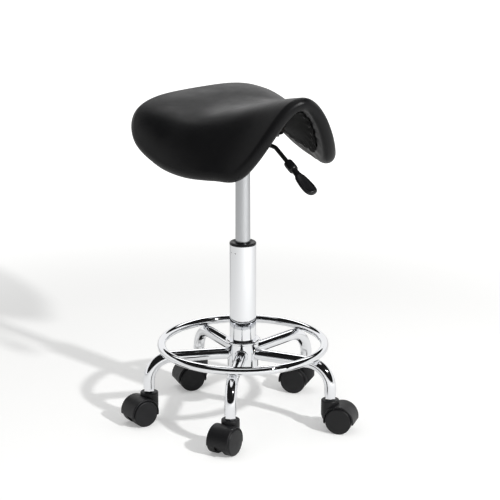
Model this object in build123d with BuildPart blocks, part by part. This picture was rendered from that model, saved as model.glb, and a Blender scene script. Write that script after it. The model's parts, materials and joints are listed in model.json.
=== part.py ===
"""Rolling saddle stool: five-legged base on twin-wheel castors, foot ring, gas lift and saddle seat.

Millimetres. +Z is up, the floor is z = 0 and the column's axis is x = y = 0.
The seat faces -Y, with its raised pommel at the front and its wide cantle at the back.
"""

from build123d import *
from math import cos, radians, sin, sqrt, tan
import os

# ---- driving dimensions -------------------------------------------------------------------

# castors
wheel_radius = 25.0
wheel_thickness = 16.0
wheel_dome = 1.2
castor_trail = 21.0
hood_wall = 2.5
wheel_clearance = 1.5
hood_width = 45.0
hood_web = 15.0
housing_radius = 17.0
castor_rise = 35.5
housing_foot = 8.0
hub_disc_margin = 5.0
axle_radius = 4.0
axle_end_depth = 5.0
stem_radius = 5.5
hex_across_flats = 18.0
hex_height = 6.5
castor_headings = (-153.0, -49.0, 131.0, 168.0, 182.0)

# legs, foot ring and hub
leg_count = 5
first_leg_angle = -129.1
leg_reach = 180.0
leg_tube_radius = 11.0
leg_wall = 1.5
leg_axis_height = 127.0
leg_bend_radius = 45.0
ring_radius = 154.0
ring_tube_radius = 8.0
ring_wall = 1.5
hub_radius = 29.0
hub_bottom = 100.0
hub_height = 48.0
hub_rim_radius = 33.0
hub_rim_height = 7.0
hub_chamfer = 1.5
vent_radius = 2.0

# gas lift
column_radius = 25.0
column_wall = 2.2
column_top = 340.0
column_overhang = 2.0
column_taper_angle = 0.75
bush_flange_height = 4.5
bush_length = 78.0
bush_chamfer = 1.5
bush_dish = 2.0
bush_rim = 5.0
cylinder_radius = 14.0
cylinder_wall = 2.0
lift_stroke = 140.0
lift_extension = 160.0
taper_length = 40.0
taper_angle = 1.4337
rod_radius = 5.0
rod_end_radius = 4.0
valve_pin_radius = 2.5

# seat plate and lever
plate_thickness = 2.5
plate_rise = 18.0
plate_half_width = 55.0
plate_front = 60.0
plate_back = 80.0
tray_half_size = 38.0
tray_depth = 25.5
socket_wall = 5.0
socket_inset = 2.0
bolt_radius = 3.0
bolt_inset = 12.0
bolt_clearance = 0.3
lever_rod_radius = 4.0
lever_rise = 8.0
lever_pivot_reach = 28.0
lever_bend_reach = 111.0
lever_droop = 25.0
lever_tail = 45.0
grip_length = 92.0

# saddle, station by station from the cantle to the pommel: place in front of the column,
# height and reach of the crown, half width and height of the shoulder, half width and height
# of the flap's lower end, and padding thickness as a share of the full thickness; heights are
# measured from the skin's level where foam and board stand straight on the seat plate
saddle_stations = (
    (-190.0, 2.0, 95.0, 148.0, -2.0, 160.0, -68.0, 1.00),
    (-110.0, 6.0, 100.0, 158.0, 4.0, 168.0, -83.0, 1.00),
    (-20.0, 6.0, 90.0, 152.0, -2.0, 164.0, -101.0, 1.00),
    (60.0, 23.0, 70.0, 125.0, -6.0, 150.0, -111.0, 0.95),
    (130.0, 43.0, 48.0, 90.0, -4.0, 128.0, -111.0, 0.75),
    (215.0, 63.0, 30.0, 58.0, 26.0, 98.0, -78.0, 0.55),
)
# the flaps' lower edge seen from the side, from the cantle to the pommel
saddle_hem = (
    (-200.0, -46.0),
    (-110.0, -65.0),
    (-20.0, -86.0),
    (60.0, -96.0),
    (115.0, -95.0),
    (160.0, -68.0),
    (200.0, -8.0),
)
# plan outline of one side, from the middle of the cantle to the tip of the pommel
saddle_outline = (
    (-176.0, 0.0),
    (-170.0, 62.0),
    (-150.0, 118.0),
    (-108.0, 153.0),
    (-40.0, 162.0),
    (40.0, 150.0),
    (108.0, 122.0),
    (162.0, 80.0),
    (188.0, 38.0),
    (196.0, 0.0),
)
crown_pull = 0.35
shoulder_pull = 0.75
shoulder_drop = 0.55
cover_thickness = 1.5
foam_depth = 30.0
board_thickness = 10.0
backing_thickness = 1.5
board_edge = 20.0
cover_wrap = 42.0
backing_edge = 34.0

# fits
running_gap = 0.05
seating_gap = 0.1
free_gap = 0.5

# ---- places that follow from the sizes above ------------------------------------------------

castor_height = wheel_radius + castor_rise
pocket_radius = wheel_radius + wheel_clearance
hood_radius = pocket_radius + hood_wall
leg_end_height = castor_height + seating_gap + hex_height
bend_start = leg_reach - leg_bend_radius
bend_centre_height = leg_axis_height - leg_bend_radius
ring_past_bend = max(ring_radius - bend_start, 0.0)
ring_rise = sqrt((leg_bend_radius + leg_tube_radius + ring_tube_radius) ** 2 - ring_past_bend**2)
ring_height = bend_centre_height + ring_rise
hub_top = hub_bottom + hub_height + hub_rim_height
column_bottom = hub_bottom - column_overhang
column_bore = column_radius - column_wall
column_foot_radius = column_radius - (hub_top - column_bottom) * tan(radians(column_taper_angle))
column_hub_radius = column_radius - (hub_top - hub_bottom) * tan(radians(column_taper_angle))
bush_top = column_top + bush_flange_height
taper_start = column_top + lift_extension
taper_top = taper_start + taper_length
socket_radius = cylinder_radius + socket_wall
taper_top_radius = cylinder_radius - taper_length * tan(radians(taper_angle))
cylinder_bore = cylinder_radius - cylinder_wall
plate_top = taper_top + plate_rise
saddle_datum = plate_top + foam_depth + board_thickness
tray_floor = plate_top - plate_thickness - tray_depth
lever_height = taper_top + lever_rise
bolt_spots = (
    (plate_half_width - bolt_inset, bolt_inset - plate_front),
    (bolt_inset - plate_half_width, bolt_inset - plate_front),
    (plate_half_width - bolt_inset, plate_back - bolt_inset),
    (bolt_inset - plate_half_width, plate_back - bolt_inset),
)

os.makedirs("parts", exist_ok=True)


def keep(piece, name):
    """Label a finished piece and write it to its own file."""
    piece.label = name
    export_step(piece, f"parts/{name}.step")


def ring_part(inner, outer, bottom, height):
    """A plain washer or sleeve about the column's axis."""
    with BuildPart() as sleeve:
        with BuildSketch(Plane.XY.offset(bottom)):
            Circle(outer)
            Circle(inner, mode=Mode.SUBTRACT)
        extrude(amount=height)
    return sleeve.part


# ---- base: hub, legs, foot ring -------------------------------------------------------------

with BuildPart() as hub:
    with BuildSketch(Plane.XZ):
        with BuildLine():
            Polyline(
                (column_hub_radius, hub_bottom),
                (hub_radius, hub_bottom),
                (hub_radius, hub_top - hub_rim_height),
                (hub_rim_radius, hub_top - hub_rim_height),
                (hub_rim_radius, hub_top),
                (column_radius, hub_top),
                close=True,
            )
        make_face()
    revolve(axis=Axis.Z)
    round_edges = hub.edges().filter_by(GeomType.CIRCLE)
    fillet(round_edges.filter_by(lambda e: abs(e.radius - hub_rim_radius) < 0.01), hub_rim_height * 0.4)
    round_edges = hub.edges().filter_by(GeomType.CIRCLE)
    chamfer(round_edges.group_by(Axis.Z)[0].sort_by(SortBy.RADIUS)[-1], hub_chamfer)
keep(hub.part, "hub")

leg_angles = [first_leg_angle + 360.0 / leg_count * k for k in range(leg_count)]
for number, angle in enumerate(leg_angles, start=1):
    radial = Plane(origin=(0, 0, 0), x_dir=(cos(radians(angle)), sin(radians(angle)), 0),
                   z_dir=(sin(radians(angle)), -cos(radians(angle)), 0))
    with BuildPart() as leg:
        with BuildLine(radial) as leg_path:
            Line((hub_radius - leg_tube_radius, leg_axis_height), (bend_start, leg_axis_height))
            RadiusArc((bend_start, leg_axis_height), (leg_reach, bend_centre_height), leg_bend_radius)
            Line((leg_reach, bend_centre_height), (leg_reach, leg_end_height))
        with BuildSketch(Plane(leg_path.line @ 0, z_dir=leg_path.line % 0)):
            Circle(leg_tube_radius)
            Circle(leg_tube_radius - leg_wall, mode=Mode.SUBTRACT)
        sweep()
        Cylinder(hub_radius, hub_top, align=(Align.CENTER, Align.CENTER, Align.MIN), mode=Mode.SUBTRACT)
    keep(leg.part, f"leg_{number}")

with BuildPart() as foot_ring:
    with BuildSketch(Plane.XZ):
        with Locations((ring_radius, ring_height)):
            Circle(ring_tube_radius)
            Circle(ring_tube_radius - ring_wall, mode=Mode.SUBTRACT)
    revolve(axis=Axis.Z)
    vent_angle = radians(first_leg_angle + 180.0 / leg_count)
    with Locations((ring_radius * cos(vent_angle), ring_radius * sin(vent_angle), ring_height)):
        Cylinder(vent_radius, ring_tube_radius * 2, align=(Align.CENTER, Align.CENTER, Align.MAX), mode=Mode.SUBTRACT)
keep(foot_ring.part, "foot_ring")

leg_ends = [(leg_reach * cos(radians(a)), leg_reach * sin(radians(a))) for a in leg_angles]
plug_length = 26.0
thread_radius = 5.0
with BuildPart() as leg_plugs:
    with BuildSketch(Plane.XY.offset(leg_end_height)):
        with Locations(*leg_ends):
            Circle(leg_tube_radius - leg_wall)
            Circle(thread_radius, mode=Mode.SUBTRACT)
    extrude(amount=min(plug_length, bend_centre_height - leg_end_height))
keep(leg_plugs.part, "leg_plugs")

# ---- castors --------------------------------------------------------------------------------

stem_depth = 30.0
thread_length = 12.0
groove_height = 2.0
groove_rise = 4.0
groove_radius = 4.5
clip_radius = 6.2
stem_bottom = castor_height - stem_depth
groove_bottom = stem_bottom + groove_rise

with BuildPart() as castor_stems:
    with BuildSketch(Plane.XY.offset(castor_height + seating_gap)):
        with Locations(*leg_ends):
            RegularPolygon(hex_across_flats / 2, 6, major_radius=False)
    extrude(amount=hex_height)
    with BuildSketch(Plane.XY.offset(stem_bottom)):
        with Locations(*leg_ends):
            Circle(stem_radius)
    extrude(amount=castor_height + seating_gap - stem_bottom)
    with BuildSketch(Plane.XY.offset(leg_end_height)):
        with Locations(*leg_ends):
            Circle(thread_radius)
    extrude(amount=thread_length)
    with BuildSketch(Plane.XY.offset(groove_bottom)):
        with Locations(*leg_ends):
            Circle(stem_radius)
            Circle(groove_radius, mode=Mode.SUBTRACT)
    extrude(amount=groove_height, mode=Mode.SUBTRACT)
keep(castor_stems.part, "castor_stems")

with BuildPart() as stem_clips:
    with BuildSketch(Plane.XY.offset(groove_bottom + running_gap)):
        with Locations(*leg_ends):
            Circle(clip_radius)
            Circle(groove_radius, mode=Mode.SUBTRACT)
    extrude(amount=groove_height - 2 * running_gap)
keep(stem_clips.part, "stem_clips")

# one castor about its own stem at the origin, trailing towards +X, with its axle along Y
axle_chamfer = 0.5
wheel_inner = hood_web / 2 + free_gap
wheel_outer = wheel_inner + wheel_thickness
axle_half_length = wheel_outer - axle_end_depth
mudguard_tip = 4.0
lead_top = wheel_radius + 8.0
lead_bottom = wheel_radius - 6.0
hood_trim = 10.0
hood_side_round = 2.0
hood_top_round = 2.5

with BuildPart() as hood:
    with BuildSketch(Plane.XZ):
        with Locations((castor_trail, wheel_radius)):
            Circle(hood_radius)
    extrude(amount=hood_width / 2, both=True)
    side_edges = hood.edges().filter_by(GeomType.CIRCLE)
    fillet(side_edges, hood_side_round)
    with BuildSketch(Plane.XY.offset(lead_bottom - housing_foot)):
        Circle(housing_radius)
    extrude(amount=castor_height - lead_bottom + housing_foot)
    fillet(hood.faces().sort_by(Axis.Z)[-1].edges(), hood_top_round)
    with BuildSketch(Plane.XZ):
        with BuildLine():
            Polyline(
                (-housing_radius - hood_trim, lead_top),
                (-housing_radius, lead_top),
                (castor_trail - pocket_radius, lead_bottom),
                (castor_trail + pocket_radius + hood_trim, wheel_radius - mudguard_tip),
                (castor_trail + pocket_radius + hood_trim, -hood_trim),
                (-housing_radius - hood_trim, -hood_trim),
                close=True,
            )
        make_face()
    extrude(amount=hood_width, both=True, mode=Mode.SUBTRACT)
    with BuildSketch(Plane.XZ):
        with Locations((castor_trail, wheel_radius)):
            Circle(pocket_radius - hub_disc_margin)
    extrude(amount=hood_web / 2, both=True)
    for side in (1, -1):
        with BuildSketch(Plane.XZ.offset(side * hood_web / 2)):
            with Locations((castor_trail, wheel_radius)):
                Circle(pocket_radius)
        extrude(amount=side * hood_width, mode=Mode.SUBTRACT)
    with Locations((0, 0, stem_bottom - free_gap)):
        Cylinder(stem_radius + running_gap, castor_height, align=(Align.CENTER, Align.CENTER, Align.MIN),
                 mode=Mode.SUBTRACT)
    with Locations((0, 0, groove_bottom - free_gap)):
        Cylinder(clip_radius + free_gap, groove_height + 2 * free_gap,
                 align=(Align.CENTER, Align.CENTER, Align.MIN), mode=Mode.SUBTRACT)
    with Locations((castor_trail, 0, wheel_radius)):
        Cylinder(axle_radius, hood_width, rotation=(90, 0, 0), mode=Mode.SUBTRACT)

with BuildPart() as axle:
    with Locations((castor_trail, 0, wheel_radius)):
        Cylinder(axle_radius, 2 * axle_half_length, rotation=(90, 0, 0))
    chamfer(axle.edges(), axle_chamfer)

# half a wheel's section: x is the distance from the axle's centre line, y runs outwards
tread_round = 3.0
recess_depth = 9.0
boss_radius = 9.0
rim_inside = wheel_radius - 4.5
rear_edge_chamfer = 0.8
with BuildPart() as wheel_left:
    with BuildSketch(Plane.XY.offset(wheel_radius)):
        with BuildLine():
            Polyline(
                (castor_trail, wheel_outer + wheel_dome),
                (castor_trail, axle_half_length + free_gap),
                (castor_trail + axle_radius + running_gap, axle_half_length + free_gap),
                (castor_trail + axle_radius + running_gap, wheel_inner),
                (castor_trail + boss_radius, wheel_inner),
                (castor_trail + boss_radius, wheel_inner + recess_depth),
                (castor_trail + rim_inside, wheel_inner + recess_depth),
                (castor_trail + rim_inside, wheel_inner),
                (castor_trail + wheel_radius, wheel_inner),
                (castor_trail + wheel_radius, wheel_outer),
            )
            ThreePointArc((castor_trail + wheel_radius, wheel_outer),
                          (castor_trail + wheel_radius / 2, wheel_outer + wheel_dome * 0.75),
                          (castor_trail, wheel_outer + wheel_dome))
        make_face()
    revolve(axis=Axis((castor_trail, 0, wheel_radius), (0, 1, 0)))
    tread_edges = wheel_left.edges().filter_by(GeomType.CIRCLE)
    tread_edges = tread_edges.filter_by(lambda e: abs(e.radius - wheel_radius) < 0.01).sort_by(Axis.Y)
    fillet(tread_edges[-1], tread_round)
    chamfer(tread_edges[0], rear_edge_chamfer)
wheel_right_part = mirror(wheel_left.part, about=Plane.XZ)

for number, (end, heading) in enumerate(zip(leg_ends, castor_headings), start=1):
    place = Pos(end[0], end[1], 0) * Rot(0, 0, heading)
    for piece, name in ((hood.part, "hood"), (axle.part, "axle"), (wheel_left.part, "wheel_left"),
                        (wheel_right_part, "wheel_right")):
        keep(place * piece, f"castor_{number}_{name}")

# ---- gas lift -------------------------------------------------------------------------------

stake_angles = (-182.0, -156.0)
stake_drop = 13.0
stake_radius = 1.3
with BuildPart() as column:
    with BuildSketch(Plane.XZ):
        with BuildLine():
            Polyline(
                (column_bore, column_bottom),
                (column_foot_radius, column_bottom),
                (column_radius, hub_top),
                (column_radius, column_top),
                (column_bore, column_top),
                close=True,
            )
        make_face()
    revolve(axis=Axis.Z)
    with Locations((0, 0, column_top - stake_drop)):
        with PolarLocations(column_radius, 2, start_angle=stake_angles[0],
                            angular_range=stake_angles[1] - stake_angles[0], endpoint=True):
            Sphere(stake_radius, mode=Mode.SUBTRACT)
keep(column.part, "column_tube")

with BuildPart() as guide_bush:
    with BuildSketch(Plane.XZ):
        with BuildLine():
            Polyline(
                (cylinder_radius + running_gap, column_top - bush_length),
                (column_bore, column_top - bush_length),
                (column_bore, column_top),
                (column_radius, column_top),
                (column_radius, bush_top - bush_chamfer),
                (column_radius - bush_chamfer, bush_top),
                (column_radius - bush_rim, bush_top),
                (cylinder_radius + running_gap, bush_top - bush_dish),
                close=True,
            )
        make_face()
    revolve(axis=Axis.Z)
keep(guide_bush.part, "guide_bush")

base_plate_thickness = 3.0
washer_thickness = 1.5
ball_radius = 2.0
ball_count = 10
ball_circle = 11.0
bearing_radius = 15.0
clip_thickness = 1.4
bumper_height = 14.0
bumper_wall = 6.5
rod_overhang = 4.0
stroke_margin = 6.0
cage_thickness = 2.0
cage_margin = 0.5
clip_reach = 4.0
washer_bottom = column_bottom + base_plate_thickness
ball_height = washer_bottom + washer_thickness + ball_radius
upper_washer_bottom = ball_height + ball_radius + running_gap
rod_shoulder = upper_washer_bottom + washer_thickness
rod_bottom = column_bottom - rod_overhang
piston_height = 10.0
seal_height = 16.0
cylinder_bottom = rod_shoulder + bumper_height + stroke_margin + lift_stroke
piston_bottom = cylinder_bottom + seal_height + stroke_margin
rod_top = piston_bottom + piston_height
rod_hole_radius = rod_end_radius + running_gap

keep(ring_part(rod_hole_radius, column_bore, column_bottom, base_plate_thickness), "column_end_plate")
keep(ring_part(rod_hole_radius, bearing_radius, washer_bottom, washer_thickness), "bearing_lower_washer")
keep(ring_part(rod_end_radius, bearing_radius, upper_washer_bottom, washer_thickness), "bearing_upper_washer")

with BuildPart() as ball_cage:
    with BuildSketch(Plane.XY.offset(ball_height - cage_thickness / 2)):
        Circle(bearing_radius - cage_margin)
        Circle(rod_end_radius + free_gap, mode=Mode.SUBTRACT)
        with PolarLocations(ball_circle, ball_count):
            Circle(ball_radius + running_gap, mode=Mode.SUBTRACT)
    extrude(amount=cage_thickness)
keep(ball_cage.part, "bearing_cage")

with BuildPart() as bearing_balls:
    with Locations((0, 0, ball_height)):
        with PolarLocations(ball_circle, ball_count):
            Sphere(ball_radius)
keep(bearing_balls.part, "bearing_balls")

clip_groove_radius = 3.2
rod_chamfer = 0.6
clip_top = column_bottom - running_gap
with BuildPart() as piston_rod:
    with BuildSketch(Plane.XY.offset(rod_bottom)):
        Circle(rod_end_radius)
    extrude(amount=rod_shoulder - rod_bottom)
    with BuildSketch(Plane.XY.offset(rod_shoulder)):
        Circle(rod_radius)
    extrude(amount=rod_top - rod_shoulder)
    with BuildSketch(Plane.XY.offset(clip_top - clip_thickness)):
        Circle(rod_end_radius)
        Circle(clip_groove_radius, mode=Mode.SUBTRACT)
    extrude(amount=clip_thickness, mode=Mode.SUBTRACT)
    chamfer(piston_rod.edges().group_by(Axis.Z)[0], rod_chamfer)
keep(piston_rod.part, "piston_rod")

with BuildPart() as rod_clip:
    with BuildSketch(Plane.XY.offset(clip_top - clip_thickness)):
        Circle(rod_end_radius + clip_reach)
        Circle(clip_groove_radius, mode=Mode.SUBTRACT)
        with Locations((rod_end_radius + clip_reach / 2, 0)):
            Rectangle(2 * rod_end_radius + clip_reach / 2, clip_groove_radius * 1.6, mode=Mode.SUBTRACT)
    extrude(amount=clip_thickness)
keep(rod_clip.part, "rod_clip")

keep(ring_part(rod_radius, rod_radius + bumper_wall, rod_shoulder, bumper_height), "rod_bumper")
keep(ring_part(rod_radius, cylinder_bore - running_gap, piston_bottom, piston_height), "piston")
keep(ring_part(rod_radius + running_gap, cylinder_bore, cylinder_bottom, seal_height), "rod_seal")

with BuildPart() as gas_cylinder:
    with BuildSketch(Plane.XZ):
        with BuildLine():
            Polyline(
                (cylinder_bore, cylinder_bottom),
                (cylinder_radius, cylinder_bottom),
                (cylinder_radius, taper_start),
                (taper_top_radius, taper_top),
                (cylinder_bore, taper_top),
                close=True,
            )
        make_face()
    revolve(axis=Axis.Z)
keep(gas_cylinder.part, "gas_cylinder")

valve_length = 36.0
valve_seat = 10.0
valve_top = lever_height - lever_rod_radius - seating_gap
with BuildPart() as valve_body:
    with BuildSketch(Plane.XY.offset(taper_top - valve_length)):
        Circle(cylinder_bore)
    extrude(amount=valve_length)
    with Locations((0, 0, taper_top - valve_length + valve_seat)):
        Cylinder(valve_pin_radius + running_gap, valve_length, align=(Align.CENTER, Align.CENTER, Align.MIN),
                 mode=Mode.SUBTRACT)
keep(valve_body.part, "valve_body")

valve_travel = 4.0
with BuildPart() as valve_pin:
    with BuildSketch(Plane.XY.offset(taper_top - valve_length + valve_seat + valve_travel + free_gap)):
        Circle(valve_pin_radius)
    extrude(amount=valve_top - (taper_top - valve_length + valve_seat + valve_travel + free_gap))
    fillet(valve_pin.faces().sort_by(Axis.Z)[-1].edges(), valve_pin_radius * 0.6)
keep(valve_pin.part, "valve_pin")

# ---- seat plate -----------------------------------------------------------------------------

socket_bottom = taper_start + socket_inset
socket_top = taper_top - 2 * socket_inset
socket_bottom_radius = cylinder_radius - (socket_bottom - taper_start) * tan(radians(taper_angle))
socket_top_radius = cylinder_radius - (socket_top - taper_start) * tan(radians(taper_angle))
tray_round = 8.0
socket_chamfer = 2.0

with BuildPart() as taper_socket:
    with BuildSketch(Plane.XZ):
        with BuildLine():
            Polyline(
                (socket_bottom_radius, socket_bottom),
                (socket_radius, socket_bottom),
                (socket_radius, socket_top),
                (socket_top_radius, socket_top),
                close=True,
            )
        make_face()
    revolve(axis=Axis.Z)
    chamfer(taper_socket.edges().group_by(Axis.Z)[0].sort_by(SortBy.RADIUS)[-1], socket_chamfer)
keep(taper_socket.part, "taper_socket")

with BuildPart() as seat_plate:
    with BuildSketch(Plane.XY.offset(plate_top - plate_thickness)):
        with Locations((0, (plate_back - plate_front) / 2)):
            RectangleRounded(2 * plate_half_width, plate_front + plate_back, bolt_inset)
        with Locations(*bolt_spots):
            Circle(bolt_radius + bolt_clearance, mode=Mode.SUBTRACT)
    extrude(amount=plate_thickness)
    with BuildSketch(Plane.XY.offset(tray_floor)):
        RectangleRounded(2 * tray_half_size, 2 * tray_half_size, tray_round)
    extrude(amount=tray_depth)
    with BuildSketch(Plane.XY.offset(tray_floor + plate_thickness)):
        RectangleRounded(2 * (tray_half_size - plate_thickness), 2 * (tray_half_size - plate_thickness),
                         tray_round - plate_thickness)
    extrude(amount=tray_depth, mode=Mode.SUBTRACT)
    with Locations((0, 0, tray_floor)):
        Cylinder(socket_radius, 4 * plate_thickness, mode=Mode.SUBTRACT)
    with Locations((0, -tray_half_size, lever_height)):
        Box(4 * lever_rod_radius, 6 * plate_thickness, 3.6 * lever_rod_radius, mode=Mode.SUBTRACT)
keep(seat_plate.part, "seat_plate")

ear_gap = lever_rod_radius + 2 * free_gap
ear_thickness = 2.0
ear_length = 12.0
lever_pin_radius = 2.0
pin_overhang = 1.0
pin_chamfer = 0.4
bracket_floor = tray_floor + plate_thickness
with BuildPart() as lever_bracket:
    for side in (1, -1):
        with BuildSketch(Plane.YZ.offset(side * (ear_gap + ear_thickness / 2))):
            with Locations((-lever_pivot_reach, (bracket_floor + lever_height) / 2)):
                Rectangle(ear_length, lever_height - bracket_floor)
            with Locations((-lever_pivot_reach, lever_height)):
                Circle(ear_length / 2)
                Circle(lever_pin_radius, mode=Mode.SUBTRACT)
        extrude(amount=ear_thickness / 2, both=True)
    with BuildSketch(Plane.XY.offset(bracket_floor)):
        with Locations((0, -lever_pivot_reach)):
            Rectangle(2 * (ear_gap + ear_thickness), ear_length)
        Circle(socket_radius + free_gap, mode=Mode.SUBTRACT)
    extrude(amount=ear_thickness)
keep(lever_bracket.part, "lever_bracket")

with BuildPart() as lever_pin:
    with Locations((0, -lever_pivot_reach, lever_height)):
        Cylinder(lever_pin_radius, 2 * (ear_gap + ear_thickness + pin_overhang), rotation=(0, 90, 0))
    chamfer(lever_pin.edges(), pin_chamfer)
keep(lever_pin.part, "lever_pin")

# ---- lever ----------------------------------------------------------------------------------

bend_radius = 20.0
lever_end = 6.0
rod_in_grip = 40.0
droop_x = cos(radians(lever_droop))
droop_z = sin(radians(lever_droop))
grip_start = (-lever_bend_reach - lever_tail * droop_x, lever_height - lever_tail * droop_z)
with BuildPart() as lever_rod:
    with BuildLine(Plane.YZ) as lever_path:
        FilletPolyline(
            (lever_end, lever_height),
            (-lever_bend_reach, lever_height),
            (grip_start[0] - rod_in_grip * droop_x, grip_start[1] - rod_in_grip * droop_z),
            radius=bend_radius,
        )
    with BuildSketch(Plane(lever_path.line @ 0, z_dir=lever_path.line % 0)):
        Circle(lever_rod_radius)
    sweep()
    with Locations((0, -lever_pivot_reach, lever_height)):
        Cylinder(lever_pin_radius + running_gap, 4 * lever_rod_radius, rotation=(0, 90, 0), mode=Mode.SUBTRACT)
keep(lever_rod.part, "lever_rod")

# grip: x runs down the lever from the collar, y across it, and the dished face looks up
grip_plane = Plane(origin=(0, grip_start[0], grip_start[1]), x_dir=(0, -droop_x, -droop_z),
                   z_dir=(0, -droop_z, droop_x))
collar_radius = 8.0
collar_length = 24.0
paddle_half_width = 14.0
paddle_half_thickness = 6.0
with BuildPart() as lever_grip:
    with BuildSketch(grip_plane):
        with BuildLine():
            Polyline((0, 0), (0, collar_radius - 1.0), (1.0, collar_radius), (collar_length, collar_radius))
            Spline(
                (collar_length, collar_radius),
                (collar_length + 16.0, collar_radius - 1.5),
                (collar_length + 38.0, paddle_half_width - 1.0),
                (grip_length - 14.0, paddle_half_width - 1.0),
                (grip_length, 0),
                tangents=((1, 0), (0, -1)),
            )
            Line((grip_length, 0), (0, 0))
        make_face()
    extrude(amount=collar_radius, both=True)
    mirror(about=Plane(origin=grip_plane.origin, z_dir=(1, 0, 0)))
    with BuildSketch(Plane(origin=grip_plane.origin, x_dir=grip_plane.x_dir, z_dir=(1, 0, 0))):
        with BuildLine():
            Polyline((0, 0), (0, collar_radius - 1.0), (1.0, collar_radius), (collar_length, collar_radius))
            Spline(
                (collar_length, collar_radius),
                (collar_length + 20.0, collar_radius - 2.5),
                (collar_length + 44.0, paddle_half_thickness - 2.5),
                (grip_length - 6.0, paddle_half_thickness),
                (grip_length, 3.0),
                tangents=((1, 0), (0.3, -1)),
            )
            Polyline((grip_length, 3.0), (grip_length, -3.0), (grip_length - 12.0, -paddle_half_thickness),
                     (collar_length, -collar_radius), (1.0, -collar_radius), (0, 1.0 - collar_radius), (0, 0))
        make_face()
    extrude(amount=2 * paddle_half_width, both=True, mode=Mode.INTERSECT)
    with Locations(Plane(origin=grip_plane.origin, z_dir=grip_plane.x_dir)):
        Cylinder(lever_rod_radius, rod_in_grip, align=(Align.CENTER, Align.CENTER, Align.MIN), mode=Mode.SUBTRACT)
keep(lever_grip.part, "lever_grip")

# ---- saddle ---------------------------------------------------------------------------------


outline_side = Spline([(v, -u) for u, v in saddle_outline], tangents=((1, 0), (-1, 0)))


def outline_points(edge):
    """Points down one side of the plan outline, set in from it by edge."""
    points = []
    for k in range(len(saddle_outline)):
        place = k / (len(saddle_outline) - 1)
        heading = outline_side % place
        points.append(outline_side @ place + edge * Vector(heading.Y, -heading.X))
    return points


def half_section(station, top, bottom):
    """Half of the saddle's section at one station, between two depths below its outer skin."""
    forward, crown, crown_reach, shoulder, shoulder_height, hem, hem_height, share = station

    def arch(depth):
        """Control points from the middle of the crown down to the hem, at a depth below the skin."""
        deep = depth * share
        return (
            (0.0, saddle_datum + crown - deep),
            (crown_reach - crown_pull * deep, saddle_datum + crown - deep),
            (shoulder - shoulder_pull * deep, saddle_datum + shoulder_height - shoulder_drop * deep),
            (hem - deep, saddle_datum + hem_height),
        )

    outer, inner = arch(top), arch(bottom)
    plane = Plane(origin=(0, -forward, 0), x_dir=(1, 0, 0), z_dir=(0, -1, 0))
    with BuildSketch(plane) as section:
        with BuildLine():
            Bezier(*outer)
            Line(outer[-1], inner[-1])
            Bezier(*reversed(inner))
            Line(inner[0], outer[0])
        make_face()
    return section.sketch.faces()[0]


def saddle_block(top, bottom, edge):
    """The part of the saddle between two depths below its skin, set in from its outline by edge."""
    with BuildPart() as block:
        loft([half_section(station, top, bottom) for station in saddle_stations])
        mirror(about=Plane.YZ)
        with BuildSketch(Plane.XY.offset(hub_top)):
            with BuildLine():
                side = Spline(outline_points(edge), tangents=((1, 0), (-1, 0)))
                mirror(side, about=Plane.YZ)
            make_face()
        extrude(amount=column_top * 2, mode=Mode.INTERSECT)
        with BuildSketch(Plane.YZ):
            with BuildLine():
                hem = Spline([(-u, saddle_datum + z + edge / 2) for u, z in saddle_hem])
                Polyline(hem @ 1, ((hem @ 1).X, column_top * 2), ((hem @ 0).X, column_top * 2), hem @ 0)
            make_face()
        extrude(amount=column_top, both=True, mode=Mode.INTERSECT)
    return block.part


core_bottom = foam_depth + board_thickness
cover_bottom = core_bottom + cover_thickness
probe_depth = core_bottom + board_edge
wrap_margin = 2.0
pad_centre = (plate_back - plate_front) / 2
pad_margin = 2.0
nut_flange_radius = 9.0
nut_flange_thickness = 1.5
nut_barrel_radius = 4.0
nut_barrel_length = 9.0
nut_seat = plate_top + nut_barrel_length
core = saddle_block(cover_thickness, core_bottom, cover_thickness)
board_space = saddle_block(foam_depth, probe_depth, board_edge)

with BuildPart() as board_boss:
    with BuildSketch(Plane.XY.offset(plate_top)):
        with Locations((0, pad_centre)):
            RectangleRounded(2 * (plate_half_width + pad_margin), plate_front + plate_back + 2 * pad_margin,
                             bolt_inset)
    extrude(amount=foam_depth)
    add(saddle_block(foam_depth + board_thickness / 2, probe_depth, board_edge), mode=Mode.INTERSECT)

with BuildPart() as seat_board:
    add(saddle_block(foam_depth, core_bottom, board_edge))
    add(board_boss.part)
    with BuildSketch(Plane.XY.offset(plate_top)):
        with Locations(*bolt_spots):
            Circle(nut_barrel_radius)
    extrude(amount=nut_barrel_length, mode=Mode.SUBTRACT)
    with BuildSketch(Plane.XY.offset(nut_seat)):
        with Locations(*bolt_spots):
            Circle(nut_flange_radius)
    extrude(amount=foam_depth + board_thickness, mode=Mode.SUBTRACT)
keep(seat_board.part, "seat_board")

with BuildPart() as seat_nuts:
    with BuildSketch(Plane.XY.offset(plate_top)):
        with Locations(*bolt_spots):
            Circle(nut_barrel_radius)
            Circle(bolt_radius, mode=Mode.SUBTRACT)
    extrude(amount=nut_barrel_length)
    with BuildSketch(Plane.XY.offset(nut_seat)):
        with Locations(*bolt_spots):
            Circle(nut_flange_radius)
            Circle(bolt_radius, mode=Mode.SUBTRACT)
    extrude(amount=nut_flange_thickness)
keep(seat_nuts.part, "seat_nuts")

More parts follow.
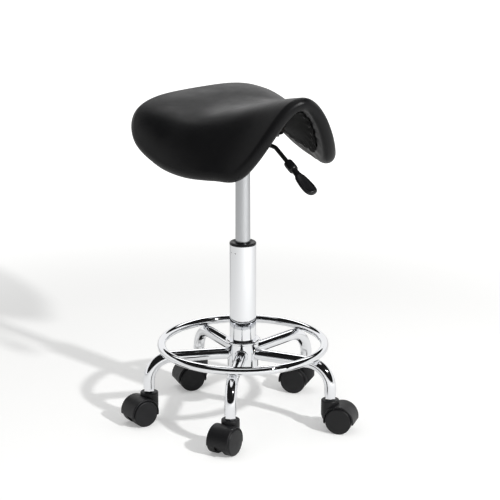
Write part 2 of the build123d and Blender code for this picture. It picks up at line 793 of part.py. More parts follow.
bolt_head_height = 4.0
bolt_head_flats = 10.0
bolt_flange_radius = 7.0
bolt_flange_thickness = 1.2
with BuildPart() as seat_bolts:
    with BuildSketch(Plane.XY.offset(plate_top - plate_thickness - bolt_flange_thickness - bolt_head_height)):
        with Locations(*bolt_spots):
            RegularPolygon(bolt_head_flats / 2, 6, major_radius=False)
    extrude(amount=bolt_head_height)
    with BuildSketch(Plane.XY.offset(plate_top - plate_thickness - bolt_flange_thickness)):
        with Locations(*bolt_spots):
            Circle(bolt_flange_radius)
    extrude(amount=bolt_flange_thickness)
    with BuildSketch(Plane.XY.offset(plate_top - plate_thickness)):
        with Locations(*bolt_spots):
            Circle(bolt_radius)
    extrude(amount=plate_thickness + nut_barrel_length)
keep(seat_bolts.part, "seat_bolts")

with BuildPart() as seat_foam:
    add(core)
    add(board_space, mode=Mode.SUBTRACT)
keep(seat_foam.part, "seat_foam")

with BuildPart() as seat_cover:
    add(saddle_block(0.0, cover_bottom, 0.0))
    add(core, mode=Mode.SUBTRACT)
    add(saddle_block(core_bottom - wrap_margin, cover_bottom + wrap_margin, cover_wrap), mode=Mode.SUBTRACT)
keep(seat_cover.part, "seat_cover")

with BuildPart() as seat_backing:
    add(saddle_block(cover_bottom, cover_bottom + backing_thickness, backing_edge))
    with BuildSketch(Plane.XY.offset(taper_start)):
        with Locations((0, pad_centre)):
            RectangleRounded(2 * (plate_half_width + 2 * pad_margin), plate_front + plate_back + 4 * pad_margin,
                             bolt_inset)
    extrude(amount=column_top, mode=Mode.SUBTRACT)
keep(seat_backing.part, "seat_backing")
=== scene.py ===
"""Looks for a rolling saddle stool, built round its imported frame. Metres, +Z up, floor at z = 0."""

import json
import math
import random

import bmesh
import bpy
from mathutils import Matrix, Vector, noise


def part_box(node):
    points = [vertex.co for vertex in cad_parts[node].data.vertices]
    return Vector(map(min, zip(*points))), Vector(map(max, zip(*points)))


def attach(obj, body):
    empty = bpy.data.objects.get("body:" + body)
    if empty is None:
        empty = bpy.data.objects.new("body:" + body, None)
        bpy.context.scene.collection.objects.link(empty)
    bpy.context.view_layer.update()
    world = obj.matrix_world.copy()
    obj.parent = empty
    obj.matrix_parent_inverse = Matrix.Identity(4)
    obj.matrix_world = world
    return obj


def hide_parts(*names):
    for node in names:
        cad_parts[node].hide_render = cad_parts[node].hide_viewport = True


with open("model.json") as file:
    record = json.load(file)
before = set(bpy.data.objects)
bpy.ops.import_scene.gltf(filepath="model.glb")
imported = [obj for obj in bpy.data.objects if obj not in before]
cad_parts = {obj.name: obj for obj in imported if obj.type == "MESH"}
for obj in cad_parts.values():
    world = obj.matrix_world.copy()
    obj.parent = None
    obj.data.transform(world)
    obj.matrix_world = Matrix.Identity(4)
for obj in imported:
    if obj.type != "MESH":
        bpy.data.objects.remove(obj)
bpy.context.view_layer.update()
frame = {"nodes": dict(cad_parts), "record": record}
MM = 0.001
random.seed(4)


# ---- helpers for meshes ---------------------------------------------------------------------


def piece(name, bm, body, material):
    """Turn a bmesh into a smooth piece that rides on a body and its finish."""
    bmesh.ops.recalc_face_normals(bm, faces=bm.faces)
    mesh = bpy.data.meshes.new(name)
    bm.to_mesh(mesh)
    bm.free()
    for face in mesh.polygons:
        face.use_smooth = True
    made = bpy.data.objects.new(name, mesh)
    bpy.context.scene.collection.objects.link(made)
    mesh.materials.append(material)
    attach(made, body)
    return made


def finish_nodes(material, *nodes):
    """Give CAD nodes a finish through their material slots."""
    for node in nodes:
        slots = frame["nodes"][node].material_slots
        if not slots:
            frame["nodes"][node].data.materials.append(material)
        for held in slots:
            held.material = material


def subdivide(made, levels):
    """Smooth a piece with live subdivision, alike in view and render."""
    modifier = made.modifiers.new("smooth", "SUBSURF")
    modifier.levels = levels
    modifier.render_levels = levels


# ---- finishes -------------------------------------------------------------------------------


class Finish:
    """A procedural material on Object coordinates."""

    def __init__(self, name, color, roughness, metallic=0.0, **fixed):
        self.material = bpy.data.materials.new(name)
        self.material.use_nodes = True
        self.nodes = self.material.node_tree.nodes
        self.links = self.material.node_tree.links
        self.shader = self.nodes["Principled BSDF"]
        self.shader.inputs["Base Color"].default_value = (*color, 1.0)
        self.shader.inputs["Roughness"].default_value = roughness
        self.shader.inputs["Metallic"].default_value = metallic
        for socket, value in fixed.items():
            self.shader.inputs[socket.replace("_", " ")].default_value = value
        self.coordinates = self.nodes.new("ShaderNodeTexCoord")
        self.height = None

    def mapped(self, scale=(1, 1, 1), turn=(0, 0, 0)):
        """Object coordinates, stretched and turned."""
        mapping = self.nodes.new("ShaderNodeMapping")
        mapping.inputs["Scale"].default_value = scale
        mapping.inputs["Rotation"].default_value = turn
        self.links.new(self.coordinates.outputs["Object"], mapping.inputs["Vector"])
        return mapping.outputs["Vector"]

    def noise(self, scale, detail, vector=None, roughness=0.55):
        """Cloudy noise. scale counts its features in a metre."""
        node = self.nodes.new("ShaderNodeTexNoise")
        node.inputs["Scale"].default_value = scale
        node.inputs["Detail"].default_value = detail
        node.inputs["Roughness"].default_value = roughness
        self.links.new(vector or self.coordinates.outputs["Object"], node.inputs["Vector"])
        return node.outputs["Fac"]

    def cells(self, scale, feature="DISTANCE_TO_EDGE"):
        """Small cells, as in pebbled leather or foam."""
        node = self.nodes.new("ShaderNodeTexVoronoi")
        node.feature = feature
        node.inputs["Scale"].default_value = scale
        self.links.new(self.coordinates.outputs["Object"], node.inputs["Vector"])
        return node.outputs["Distance"]

    def between(self, value, low, high, at):
        """Map a value that runs over `at` to the span from low to high."""
        node = self.nodes.new("ShaderNodeMapRange")
        node.inputs["From Min"].default_value, node.inputs["From Max"].default_value = at
        node.inputs["To Min"].default_value, node.inputs["To Max"].default_value = low, high
        self.links.new(value, node.inputs["Value"])
        return node.outputs["Result"]

    def rough(self, value, low, high, at=(0.3, 0.7)):
        """Let the roughness follow a value."""
        self.links.new(self.between(value, low, high, at), self.shader.inputs["Roughness"])

    def tint(self, value, dark, light, at=(0.3, 0.7)):
        """Let the colour follow a value."""
        node = self.nodes.new("ShaderNodeMix")
        node.data_type = "RGBA"
        node.inputs["A"].default_value = (*dark, 1.0)
        node.inputs["B"].default_value = (*light, 1.0)
        self.links.new(self.between(value, 0.0, 1.0, at), node.inputs["Factor"])
        self.links.new(node.outputs["Result"], self.shader.inputs["Base Color"])

    def relief(self, value, depth, strength):
        """Stack one more layer of bump, its full height given in metres."""
        node = self.nodes.new("ShaderNodeBump")
        node.inputs["Distance"].default_value = depth
        node.inputs["Strength"].default_value = strength
        self.links.new(value, node.inputs["Height"])
        if self.height is not None:
            self.links.new(self.height, node.inputs["Normal"])
        self.height = node.outputs["Normal"]
        self.links.new(self.height, self.shader.inputs["Normal"])


def seat_leather():
    """Black upholstery leather: fine pebbled grain, broad soft unevenness and a low sheen."""
    leather = Finish("seat_leather", (0.006, 0.006, 0.0065), 0.36, Specular_IOR_Level=0.15)
    leather.rough(leather.noise(28.0, 4.0), 0.31, 0.40)
    leather.tint(leather.noise(9.0, 3.0), (0.005, 0.005, 0.0055), (0.0075, 0.0075, 0.008))
    leather.relief(leather.noise(35.0, 2.0), 0.0004, 0.35)
    leather.relief(leather.cells(950.0), 0.00012, 0.55)
    leather.relief(leather.noise(2600.0, 2.0), 0.00004, 0.4)
    return leather.material


def chrome_plate():
    """Mirror chrome with faint ripple and a few dull smears."""
    chrome = Finish("chrome_plate", (0.84, 0.85, 0.87), 0.05, metallic=1.0)
    chrome.rough(chrome.noise(14.0, 5.0, roughness=0.6), 0.03, 0.11, at=(0.45, 0.8))
    chrome.relief(chrome.noise(22.0, 2.0), 0.0006, 0.12)
    return chrome.material


def satin_steel():
    """Ground steel of the gas cylinder, with fine rings round it."""
    steel = Finish("satin_steel", (0.52, 0.53, 0.545), 0.3, metallic=1.0)
    rings = steel.noise(6.0, 3.0, steel.mapped(scale=(1.0, 1.0, 260.0)))
    steel.rough(rings, 0.17, 0.27)
    steel.relief(rings, 0.00003, 0.5)
    return steel.material


def zinc_plate():
    """Bright zinc on small turned and pressed parts."""
    zinc = Finish("zinc_plate", (0.62, 0.63, 0.64), 0.24, metallic=1.0)
    zinc.rough(zinc.noise(160.0, 3.0), 0.16, 0.34)
    zinc.relief(zinc.noise(420.0, 2.0), 0.00005, 0.4)
    return zinc.material


def moulded_plastic(name, color, roughness, grain):
    """Black moulded plastic with a fine spark-eroded grain."""
    plastic = Finish(name, color, roughness, Specular_IOR_Level=0.3)
    plastic.rough(plastic.noise(60.0, 3.0), roughness - 0.05, roughness + 0.06)
    plastic.relief(plastic.noise(grain, 2.0), 0.00005, 0.5)
    return plastic.material


def black_paint():
    """Satin powder coat with orange peel."""
    paint = Finish("black_paint", (0.007, 0.007, 0.007), 0.38, Specular_IOR_Level=0.35)
    paint.rough(paint.noise(40.0, 3.0), 0.32, 0.46)
    paint.relief(paint.noise(700.0, 2.0), 0.00005, 0.6)
    return paint.material


def backing_cloth():
    """Non-woven cloth under the seat: short random fibres pressed flat."""
    cloth = Finish("backing_cloth", (0.012, 0.012, 0.012), 0.9, Specular_IOR_Level=0.1)
    slanted = cloth.mapped(scale=(1.0, 0.25, 1.0), turn=(0.0, 0.0, 0.6))
    fibres = cloth.noise(900.0, 5.0, slanted, roughness=0.75)
    cloth.tint(fibres, (0.007, 0.007, 0.007), (0.022, 0.022, 0.022))
    cloth.relief(fibres, 0.0003, 0.8)
    return cloth.material


def plywood():
    """Moulded plywood, stained black, with long grain along the seat."""
    wood = Finish("plywood", (0.02, 0.018, 0.016), 0.6)
    grain = wood.noise(14.0, 6.0, wood.mapped(scale=(9.0, 0.6, 9.0)), roughness=0.65)
    wood.tint(grain, (0.012, 0.011, 0.01), (0.035, 0.03, 0.026))
    wood.relief(grain, 0.0003, 0.5)
    return wood.material


def open_foam():
    """Cut foam, seen only where the cover is off."""
    foam = Finish("open_foam", (0.62, 0.58, 0.38), 0.95)
    foam.relief(foam.cells(900.0, "F1"), 0.0004, 0.8)
    return foam.material


def soft_rubber():
    """Matt black rubber."""
    rubber = Finish("soft_rubber", (0.02, 0.02, 0.02), 0.75)
    rubber.relief(rubber.noise(500.0, 3.0), 0.0001, 0.5)
    return rubber.material


LEATHER = seat_leather()
CHROME = chrome_plate()
SATIN = satin_steel()
ZINC = zinc_plate()
NYLON = moulded_plastic("castor_nylon", (0.009, 0.009, 0.010), 0.44, 1100.0)
PLASTIC = moulded_plastic("black_plastic", (0.007, 0.007, 0.008), 0.34, 1300.0)
PAINT = black_paint()
CLOTH = backing_cloth()
WOOD = plywood()
FOAM = open_foam()
RUBBER = soft_rubber()

BY_SLOT = {
    "chrome_frame": CHROME,
    "zinc_steel": ZINC,
    "cylinder_steel": SATIN,
    "bearing_steel": ZINC,
    "black_plastic": PLASTIC,
    "castor_nylon": NYLON,
    "buffer_rubber": RUBBER,
    "black_paint": PAINT,
    "plywood": WOOD,
    "foam": FOAM,
    "seat_leather": LEATHER,
    "backing_cloth": CLOTH,
}
for subpart in frame["record"]["subparts"]:
    finish_nodes(BY_SLOT[subpart["material_slot"]], subpart["node"])
finish_nodes(CHROME, "castor_stems")


# ---- saddle ---------------------------------------------------------------------------------

# stations from the cantle to the pommel, in millimetres: place in front of the column, drop of
# the crown below the pommel's top and reach of its flat, half width and drop of the shoulder,
# half width and drop of the flap's lower end.
SADDLE_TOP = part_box("seat_cover")[1].z
SADDLE_STATIONS = (
    (-190.0, 48.0, 100.0, 158.0, 52.0, 170.0, 126.0),
    (-110.0, 48.0, 104.0, 166.0, 48.0, 174.0, 143.0),
    (-20.0, 53.0, 92.0, 155.0, 60.0, 166.0, 163.0),
    (60.0, 37.0, 70.0, 125.0, 66.0, 150.0, 171.0),
    (130.0, 17.0, 48.0, 90.0, 64.0, 128.0, 171.0),
    (215.0, -3.0, 30.0, 58.0, 34.0, 98.0, 138.0),
)
SADDLE_MIDDLE = -10.0
SADDLE_LEAN = 0.035
SADDLE_HALF_WIDTH = 160.0 * MM
FURTHEST_ACROSS = 1.15
TINY_SHARE = 0.001  # keeps off the very middle, where no direction leads outwards
EDGE_HALF_AT_CANTLE = 21.0 * MM
EDGE_HALF_LOSS_AHEAD = 9.5 * MM
MIDDLE_DEPTH = 44.0 * MM
MIDDLE_DEPTH_LOSS_AHEAD = 18.0 * MM
PAD_CUTS = 63
PLEAT_COUNT = 46.0
PLEAT_DEPTH = 2.2 * MM
CLOTH_SQUARES = 96
CLOTH_REACH = 0.925
CLOTH_LIFT = 0.6 * MM
CLOTH_RUFFLE = 1.6 * MM
CLOTH_THICKNESS = 0.8 * MM
CLOTH_PLATE_MARGIN = 2.0 * MM
STAPLE_COUNT = 58
STAPLE_SIZE = (0.0105, 0.0011, 0.0009)
STAPLE_SHARE = 0.955
STAPLE_TILT = 0.5
STAPLE_ROUNDING = 0.2 * MM
# the seat's edge from the cantle's middle to the pommel's tip: place in front of the column
# and share of the way from the crown down to the flap's lower end
SADDLE_EDGE = (
    (-182.0, 0.0),
    (-178.0, 0.37),
    (-160.0, 0.70),
    (-118.0, 0.91),
    (-50.0, 0.96),
    (26.0, 0.955),
    (100.0, 0.92),
    (158.0, 0.89),
    (192.0, 0.62),
    (201.0, 0.0),
)


def station_at(forward):
    """Station values at any place along the seat, by a smooth cubic through the stations."""
    rows = SADDLE_STATIONS
    k = 0
    while k < len(rows) - 2 and rows[k + 1][0] < forward:
        k += 1
    a, b = rows[k], rows[k + 1]
    before, after = rows[max(k - 1, 0)], rows[min(k + 2, len(rows) - 1)]
    span = b[0] - a[0]
    t = (forward - a[0]) / span
    values = []
    for i in range(1, len(a)):
        slope_a = (b[i] - before[i]) / (b[0] - before[0]) * span
        slope_b = (after[i] - a[i]) / (after[0] - a[0]) * span
        values.append(
            (2 * t**3 - 3 * t**2 + 1) * a[i] + (t**3 - 2 * t**2 + t) * slope_a
            + (3 * t**2 - 2 * t**3) * b[i] + (t**3 - t**2) * slope_b
        )
    return values


def saddle_point(forward, across):
    """A point of the seat's top skin. across runs from -1 on one flap's hem to 1 on the other's."""
    crown, reach, shoulder, shoulder_drop, hem, hem_drop = station_at(forward)
    t = min(abs(across), FURTHEST_ACROSS)
    top, flat, bend, end = (1 - t) ** 3, 3 * (1 - t) ** 2 * t, 3 * (1 - t) * t**2, t**3
    side = flat * reach + bend * shoulder + end * hem
    drop = (top + flat) * crown + bend * shoulder_drop + end * hem_drop
    aside = math.copysign(side, across) * MM
    return Vector((aside, -forward * MM, SADDLE_TOP - drop * MM + aside * SADDLE_LEAN))


def along(points, place):
    """A smooth way through control points: place runs from 0 to 1."""
    reach = place * (len(points) - 1)
    k = min(int(reach), len(points) - 2)
    t = reach - k
    a, b = points[k], points[k + 1]
    before = points[k - 1] if k else (a[0], -b[1])
    after = points[k + 2] if k + 2 < len(points) else (b[0], -a[1])
    return [
        0.5 * (2 * q + (r - p) * t + (2 * p - 5 * q + 4 * r - s) * t**2 + (3 * q - p - 3 * r + s) * t**3)
        for p, q, r, s in zip(before, a, b, after)
    ]


def outline(angle):
    """The seat's edge as (forward, across), at an angle from straight ahead."""
    turn = abs(math.remainder(angle, math.tau)) / math.pi
    forward, across = along(SADDLE_EDGE, 1 - turn)
    return forward, math.copysign(across, math.sin(angle))


def skin(angle, share):
    """A point of the top skin at a share of the way from the seat's middle to its edge."""
    forward, across = outline(angle)
    return saddle_point(SADDLE_MIDDLE + (forward - SADDLE_MIDDLE) * share, across * share)


def edge_half_thickness(angle):
    """Half the pad's thickness at its edge: full at the cantle, thin at the pommel."""
    ahead = (1 + math.cos(angle)) / 2
    return EDGE_HALF_AT_CANTLE - EDGE_HALF_LOSS_AHEAD * ahead**2


def skin_frame(angle, share):
    """A point of the skin with its normal and the direction straight out over the edge."""
    step = 0.01
    here = skin(angle, share)
    out = skin(angle, share + step) - skin(angle, share - step)
    round_edge = skin(angle + step, share) - skin(angle - step, share)
    normal = out.cross(round_edge).normalized()
    if normal.z < 0:
        normal.negate()
    outward = round_edge.cross(normal).normalized()
    if outward.dot(out) < 0:
        outward.negate()
    return here, normal, outward


def edge_share(angle):
    """How far out the rounded edge starts, so that it ends on the outline."""
    last_part = 0.1
    reach = (skin(angle, 1.0) - skin(angle, 1.0 - last_part)).length / last_part
    return 1.0 - edge_half_thickness(angle) / reach


def disc(a, b):
    """A point of the square on a disc, as angle and distance from the middle."""
    if a == 0 and b == 0:
        return 0.0, 0.0
    if abs(a) >= abs(b):
        return (math.pi / 4) * (b / a) + (0 if a > 0 else math.pi), abs(a)
    return math.pi / 2 - (math.pi / 4) * (a / b) + (0 if b > 0 else math.pi), abs(b)


def pad_depth(angle, away):
    """The pad's thickness inside its edge, with the lean of its top taken up on one side."""
    edge = 2 * edge_half_thickness(angle)
    ahead = max(math.cos(angle), 0.0) * away
    middle = MIDDLE_DEPTH - MIDDLE_DEPTH_LOSS_AHEAD * ahead**1.5
    lean = SADDLE_LEAN * max(math.sin(angle), 0.0) * away * SADDLE_HALF_WIDTH * (1 - away**6)
    return edge + (middle - edge) * (1 - away**2) + lean


def pad_point(a, b, c):
    """A point of a cube's skin moved to the pad's: c = 1 is its top, -1 its underside."""
    angle, away = disc(a, b)
    rim = edge_share(angle)
    here, normal, outward = skin_frame(angle, rim * away if away else TINY_SHARE)
    if c >= 1.0 and away < 1.0:
        return here
    if c <= -1.0 and away < 1.0:
        return underside_point(angle, away)[0]
    half = edge_half_thickness(angle)
    lean = c * math.pi / 2
    return here + outward * half * math.cos(lean) + normal * half * (math.sin(lean) - 1)


def ease(value, low, high):
    """Smooth run from 0 to 1 while a value runs from low to high."""
    t = min(max((value - low) / (high - low), 0.0), 1.0)
    return t * t * (3 - 2 * t)


def pleat(angle):
    """Depth of the gathers where the cover is pulled round the edge, from 0 to 1."""
    wander = noise.noise(Vector((math.cos(angle) * 3.0, math.sin(angle) * 3.0, 0.7)))
    fine = noise.noise(Vector((math.cos(angle) * 16.0, math.sin(angle) * 16.0, 4.2)))
    return 0.5 + 0.5 * math.sin(PLEAT_COUNT * angle + 5.0 * wander) * (0.7 + 0.6 * fine)


def underside_point(angle, away, lift=0.0):
    """A point under the pad, with the skin's normal and the way out over the edge."""
    here, normal, outward = skin_frame(angle, max(edge_share(angle) * away, TINY_SHARE))
    near_edge = ease(away, 0.76, 0.90) * (1 - ease(away, 0.95, 1.0))
    gather = near_edge * PLEAT_DEPTH * (pleat(angle) - 0.5)
    return here - normal * (pad_depth(angle, away) + gather + lift), normal, outward


def make_pad():
    """The upholstered pad: one closed form with a full round edge."""
    bm = bmesh.new()
    bmesh.ops.create_cube(bm, size=2.0)
    bmesh.ops.subdivide_edges(bm, edges=bm.edges, cuts=PAD_CUTS, use_grid_fill=True)
    for vertex in bm.verts:
        vertex.co = pad_point(*vertex.co)
    pad = piece("saddle_pad", bm, "seat", LEATHER)
    subdivide(pad, 1)
    return pad


saddle_pad = make_pad()
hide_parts("seat_cover", "seat_foam")


def cloth_edge(angle):
    """How far out the cloth under the seat reaches: a hand-cut, slightly wavy line."""
    slow = noise.noise(Vector((math.cos(angle) * 6.0, math.sin(angle) * 6.0, 9.1)))
    quick = noise.noise(Vector((math.cos(angle) * 19.0, math.sin(angle) * 19.0, 2.3)))
    return CLOTH_REACH + 0.022 * slow + 0.016 * quick


def make_underside():
    """The cloth under the seat, open round the seat plate, with its edge pulled tight."""
    low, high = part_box("seat_plate")
    bm = bmesh.new()
    bmesh.ops.create_grid(bm, x_segments=CLOTH_SQUARES, y_segments=CLOTH_SQUARES, size=1.0)
    for vertex in bm.verts:
        angle, away = disc(vertex.co.x, vertex.co.y)
        ruffle = CLOTH_RUFFLE * pleat(angle * 1.7) * ease(away, 0.88, 1.0)
        vertex.co = underside_point(angle, away * cloth_edge(angle), CLOTH_LIFT + ruffle)[0]
    under_plate = []
    for face in bm.faces:
        middle = face.calc_center_median()
        if (low.x - CLOTH_PLATE_MARGIN < middle.x < high.x + CLOTH_PLATE_MARGIN
                and low.y - CLOTH_PLATE_MARGIN < middle.y < high.y + CLOTH_PLATE_MARGIN):
            under_plate.append(face)
    bmesh.ops.delete(bm, geom=under_plate, context="FACES")
    bmesh.ops.solidify(bm, geom=bm.faces[:], thickness=CLOTH_THICKNESS)
    cloth = piece("underside_cloth", bm, "seat", CLOTH)
    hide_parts("seat_backing")


def make_staples():
    """Wire staples that hold the cover and the cloth to the board, one short bar each."""
    bm = bmesh.new()
    for k in range(STAPLE_COUNT):
        angle = math.tau * (k + 0.4 * random.random()) / STAPLE_COUNT
        share = cloth_edge(angle) * STAPLE_SHARE
        here, normal, outward = underside_point(angle, share, CLOTH_LIFT + CLOTH_THICKNESS)
        tilt = Matrix.Rotation(random.uniform(-STAPLE_TILT, STAPLE_TILT), 3, normal)
        ahead = tilt @ normal.cross(outward)
        turn = Matrix((ahead, normal.cross(ahead), normal)).transposed().to_4x4()
        made = bmesh.ops.create_cube(bm, size=1.0)["verts"]
        bmesh.ops.scale(bm, vec=STAPLE_SIZE, verts=made)
        bmesh.ops.transform(bm, matrix=Matrix.Translation(here) @ turn, verts=made)
    bmesh.ops.bevel(bm, geom=bm.edges[:], offset=STAPLE_ROUNDING, affect="EDGES", segments=1,
                    profile=0.5, material=-1)
    piece("underside_staples", bm, "seat", PAINT)


make_underside()
make_staples()


# ---- lever grip -----------------------------------------------------------------------------

# stations down the grip, in millimetres: distance from its collar's face, half width, half
# thickness and depth of the thumb dish.
GRIP_STATIONS = (
    (0.0, 7.0, 7.0, 0.0),
    (0.4, 8.2, 8.2, 0.0),
    (2.0, 8.7, 8.7, 0.0),
    (12.0, 8.9, 8.9, 0.0),
    (21.0, 8.7, 8.7, 0.0),
    (22.4, 8.0, 8.0, 0.0),
    (22.8, 6.6, 6.4, 0.0),
    (26.0, 6.0, 5.8, 0.0),
    (34.0, 6.0, 5.4, 0.0),
    (39.0, 7.4, 5.6, 0.0),
    (41.0, 9.2, 6.4, 0.2),
    (46.0, 11.0, 6.6, 2.6),
    (54.0, 12.4, 6.6, 4.2),
    (64.0, 13.6, 6.6, 4.8),
    (74.0, 14.0, 6.6, 4.8),
    (82.0, 13.2, 6.5, 4.0),
    (87.0, 10.8, 6.2, 2.0),
    (89.6, 7.6, 5.2, 0.2),
    (91.2, 3.4, 2.8, 0.0),
)
LEVER_DROOP = math.radians(25.0)
COLLAR_RADIUS = 8.0 * MM


def make_grip():
    """Moulded lever grip: a round collar, a waist and a dished, rounded paddle."""
    sine, cosine = math.sin(LEVER_DROOP), math.cos(LEVER_DROOP)
    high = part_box("lever_grip")[1]
    start = Vector((0.0, high.y - COLLAR_RADIUS * sine, high.z - COLLAR_RADIUS * cosine))
    down = Vector((0.0, -cosine, -sine))
    aside = Vector((1.0, 0.0, 0.0))
    up = aside.cross(down) * -1.0
    if up.z < 0:
        up.negate()
    bm = bmesh.new()
    loop = bmesh.ops.create_circle(bm, segments=40, radius=1.0)["verts"]
    edges = bm.edges[:]
    for number, (distance, width, thickness, dish) in enumerate(GRIP_STATIONS):
        if number:
            grown = bmesh.ops.extrude_edge_only(bm, edges=edges)["geom"]
            edges = [e for e in grown if isinstance(e, bmesh.types.BMEdge) and e.is_boundary]
            fresh = [v for v in grown if isinstance(v, bmesh.types.BMVert)]
            loop = [next(e.other_vert(v) for e in v.link_edges if e.other_vert(v) in fresh) for v in loop]
        for k, vertex in enumerate(loop):
            turn = math.tau * k / len(loop)
            x, z = math.cos(turn), math.sin(turn)
            sunk = dish * ease(1 - abs(x), 0.12, 0.42) if z > 0 else 0.0
            vertex.co = start + (down * distance + aside * width * x + up * (thickness * z - sunk)) * MM
    bmesh.ops.holes_fill(bm, edges=bm.edges, sides=0)
    grip = piece("lever_grip_moulding", bm, "lever", PLASTIC)
    subdivide(grip, 1)
    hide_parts("lever_grip")


make_grip()


# ---- welds ----------------------------------------------------------------------------------

LEG_COUNT = 5
FIRST_LEG = math.radians(-129.1)
HUB_RADIUS = 29.0 * MM
LEG_RADIUS = 11.0 * MM
LEG_HEIGHT = 127.0 * MM
RING_CONTACT = Vector((151.6, 0.0, 135.5)) * MM
BEAD_RADIUS = 1.9 * MM
BEAD_RIPPLE = 0.25 * MM
RING_WELD_SIZE = (0.0056, 0.0068, 0.0016)
RING_WELD_TILT = math.radians(17.3)


def make_welds():
    """Plated weld beads where the legs meet the hub and where the foot ring sits on the legs."""
    bm = bmesh.new()
    for k in range(LEG_COUNT):
        turn = Matrix.Rotation(FIRST_LEG + math.tau * k / LEG_COUNT, 4, "Z")
        bead = bmesh.ops.create_circle(bm, segments=10, radius=BEAD_RADIUS)["verts"]
        bmesh.ops.rotate(bm, verts=bead, cent=(0, 0, 0), matrix=Matrix.Rotation(math.pi / 2, 3, "X"))
        bmesh.ops.translate(bm, verts=bead, vec=(HUB_RADIUS, 0.0, LEG_HEIGHT + LEG_RADIUS))
        profile = list(dict.fromkeys(edge for vertex in bead for edge in vertex.link_edges))
        bmesh.ops.spin(bm, geom=bead + profile, cent=(HUB_RADIUS, 0.0, LEG_HEIGHT), axis=(1, 0, 0),
                       angle=math.tau, steps=48, use_merge=True)
        around = [vertex for vertex in bm.verts if not vertex.tag]
        for vertex in around:
            ripple = BEAD_RIPPLE * noise.noise(vertex.co * 700.0)
            vertex.co.x -= HUB_RADIUS - math.sqrt(HUB_RADIUS**2 - vertex.co.y**2) - ripple
        blob = bmesh.ops.create_uvsphere(bm, u_segments=20, v_segments=12, radius=1.0)["verts"]
        bmesh.ops.scale(bm, vec=RING_WELD_SIZE, verts=blob)
        bmesh.ops.rotate(bm, verts=blob, cent=(0, 0, 0), matrix=Matrix.Rotation(RING_WELD_TILT, 3, "Y"))
        bmesh.ops.translate(bm, verts=blob, vec=RING_CONTACT)
        fresh = around + blob
        bmesh.ops.transform(bm, matrix=turn, verts=fresh)
        for vertex in fresh:
            vertex.tag = True
    piece("frame_welds", bm, "root", CHROME)


make_welds()


# ---- studio ---------------------------------------------------------------------------------

VIEW_AZIMUTH = math.radians(-32.0)
VIEW_ELEVATION = math.radians(16.5)
VIEW_DISTANCE = 3.943
VIEW_LENS = 152.1
VIEW_ASIDE = 0.0133
VIEW_HEIGHT = 0.328
ROOM_DARK = 0.012
GLOW_STRENGTH = 5.0
SKY_ON_SURFACES = 0.43
FLOOR_SIZE = 30.0
FLOOR_NEAR = 0.26
FLOOR_FAR = 0.85
FLOOR_IN_MIRRORS = 0.13


def make_camera():
    """Camera with a long lens, low in front of the seat and to one side."""
    data = bpy.data.cameras.new("camera")
    data.sensor_width = 36.0
    data.lens = VIEW_LENS
    camera = bpy.data.objects.new("camera", data)
    bpy.context.scene.collection.objects.link(camera)
    right = Vector((math.cos(VIEW_AZIMUTH), math.sin(VIEW_AZIMUTH), 0.0))
    back = Vector((math.sin(VIEW_AZIMUTH) * math.cos(VIEW_ELEVATION),
                   -math.cos(VIEW_AZIMUTH) * math.cos(VIEW_ELEVATION), math.sin(VIEW_ELEVATION)))
    target = right * VIEW_ASIDE + Vector((0.0, 0.0, VIEW_HEIGHT))
    camera.location = target + back * VIEW_DISTANCE
    camera.rotation_mode = "QUATERNION"
    camera.rotation_quaternion = (-back).to_track_quat("-Z", "Y")
    bpy.context.scene.camera = camera


def aim(lamp, spot, target):
    """Stand a lamp at a spot, facing a target."""
    lamp.location = spot
    lamp.rotation_mode = "QUATERNION"
    lamp.rotation_quaternion = (Vector(target) - Vector(spot)).to_track_quat("-Z", "Y")


def area_lamp(name, spot, target, size, power):
    """A square soft box."""
    data = bpy.data.lights.new(name, "AREA")
    data.shape = "SQUARE"
    data.size = size
    data.energy = power
    lamp = bpy.data.objects.new(name, data)
    bpy.context.scene.collection.objects.link(lamp)
    aim(lamp, spot, target)
    return lamp


class Studio:
    """Short forms for the nodes of the world and the floor."""

    def __init__(self, tree):
        self.nodes = tree.nodes
        self.links = tree.links
        self.path = self.nodes.new("ShaderNodeLightPath")

    def math(self, operation, first, second):
        """A math node on two sockets or numbers."""
        node = self.nodes.new("ShaderNodeMath")
        node.operation = operation
        for socket, value in zip(node.inputs, (first, second)):
            if isinstance(value, (int, float)):
                socket.default_value = value
            else:
                self.links.new(value, socket)
        return node.outputs[0]

    def step(self, value, low, high, start=0.0, end=1.0):
        """Runs from start to end while a value runs from low to high."""
        node = self.nodes.new("ShaderNodeMapRange")
        node.interpolation_type = "SMOOTHSTEP"
        node.inputs["From Min"].default_value = low
        node.inputs["From Max"].default_value = high
        node.inputs["To Min"].default_value = start
        node.inputs["To Max"].default_value = end
        self.links.new(value, node.inputs["Value"])
        return node.outputs["Result"]

    def pick(self, factor, off, on):
        """off where the factor is 0, on where it is 1."""
        left = self.math("MULTIPLY", self.math("SUBTRACT", 1.0, factor), off)
        return self.math("ADD", left, self.math("MULTIPLY", factor, on))

    def by_ray(self, camera, mirror, surface):
        """One value for the eye and for glass, one for mirrors, one for the light on surfaces."""
        ray = self.path.outputs
        eye = self.math("MAXIMUM", ray["Is Camera Ray"], ray["Is Transmission Ray"])
        rest = self.pick(ray["Is Glossy Ray"], surface, mirror)
        return self.pick(eye, rest, camera)


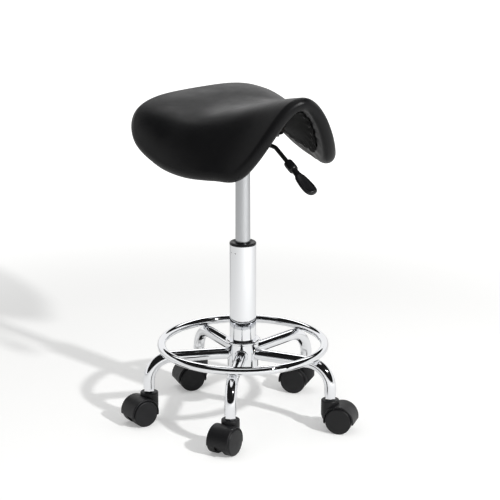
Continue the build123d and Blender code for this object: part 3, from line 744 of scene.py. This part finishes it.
def make_world():
    """White for the eye. Mirrors see a dark room with a pale sweep all round, which is high
    behind the stool and low towards the camera, a soft box overhead and a glow high behind."""
    world = bpy.data.worlds.new("studio")
    bpy.context.scene.world = world
    world.use_nodes = True
    studio = Studio(world.node_tree)
    background = studio.nodes["Background"]
    background.inputs["Color"].default_value = (1.0, 1.0, 1.0, 1.0)
    way = studio.nodes.new("ShaderNodeTexCoord")
    split = studio.nodes.new("ShaderNodeSeparateXYZ")
    studio.links.new(way.outputs["Generated"], split.inputs["Vector"])
    toward = studio.nodes.new("ShaderNodeVectorMath")
    toward.operation = "DOT_PRODUCT"
    studio.links.new(way.outputs["Generated"], toward.inputs[0])
    toward.inputs[1].default_value = (math.sin(VIEW_AZIMUTH), -math.cos(VIEW_AZIMUTH), 0.0)
    sweep_top = studio.step(toward.outputs["Value"], -0.35, 0.5, 0.42, 0.03)
    below = studio.math("LESS_THAN", split.outputs["Z"], sweep_top)
    behind = studio.step(toward.outputs["Value"], -0.72, -0.55, 1.0, 0.0)
    glow = studio.math("MULTIPLY", behind, studio.step(split.outputs["Z"], 0.58, 0.70))
    overhead = studio.step(split.outputs["Z"], 0.89, 0.93)
    pale = studio.math("MAXIMUM", below, overhead)
    room = studio.step(pale, 0.0, 1.0, ROOM_DARK, 1.0)
    mirror = studio.math("ADD", room, studio.math("MULTIPLY", glow, GLOW_STRENGTH))
    studio.links.new(studio.by_ray(1.0, mirror, SKY_ON_SURFACES), background.inputs["Strength"])


def make_floor():
    """A wide pale floor that keeps the shadows and grows whiter to the eye further away."""
    bm = bmesh.new()
    bmesh.ops.create_grid(bm, x_segments=1, y_segments=1, size=FLOOR_SIZE)
    mesh = bpy.data.meshes.new("floor")
    bm.to_mesh(mesh)
    bm.free()
    floor = bpy.data.objects.new("floor", mesh)
    bpy.context.scene.collection.objects.link(floor)
    material = bpy.data.materials.new("floor")
    material.use_nodes = True
    studio = Studio(material.node_tree)
    diffuse = studio.nodes.new("ShaderNodeBsdfDiffuse")
    diffuse.inputs["Color"].default_value = (0.8, 0.8, 0.79, 1.0)
    glow = studio.nodes.new("ShaderNodeEmission")
    glow.inputs["Color"].default_value = (1.0, 1.0, 1.0, 1.0)
    place = studio.nodes.new("ShaderNodeTexCoord")
    away = studio.nodes.new("ShaderNodeVectorMath")
    away.operation = "LENGTH"
    studio.links.new(place.outputs["Object"], away.inputs[0])
    seen = studio.step(away.outputs["Value"], 0.75, 2.1, FLOOR_NEAR, FLOOR_FAR)
    studio.links.new(studio.by_ray(seen, FLOOR_IN_MIRRORS, 0.0), glow.inputs["Strength"])
    both = studio.nodes.new("ShaderNodeAddShader")
    studio.links.new(diffuse.outputs[0], both.inputs[0])
    studio.links.new(glow.outputs[0], both.inputs[1])
    studio.links.new(both.outputs[0], studio.nodes["Material Output"].inputs["Surface"])
    mesh.materials.append(material)


make_camera()
make_world()
make_floor()
area_lamp("key", spot=(0.54, -2.5, 1.93), target=(0.0, 0.0, 0.3), size=0.13, power=74.0)
top_lamp = area_lamp("top", spot=(-0.3, 0.5, 2.6), target=(0.0, 0.0, 0.5), size=1.6, power=11.0)
top_lamp.visible_glossy = False
bpy.context.scene.view_settings.view_transform = "Standard"
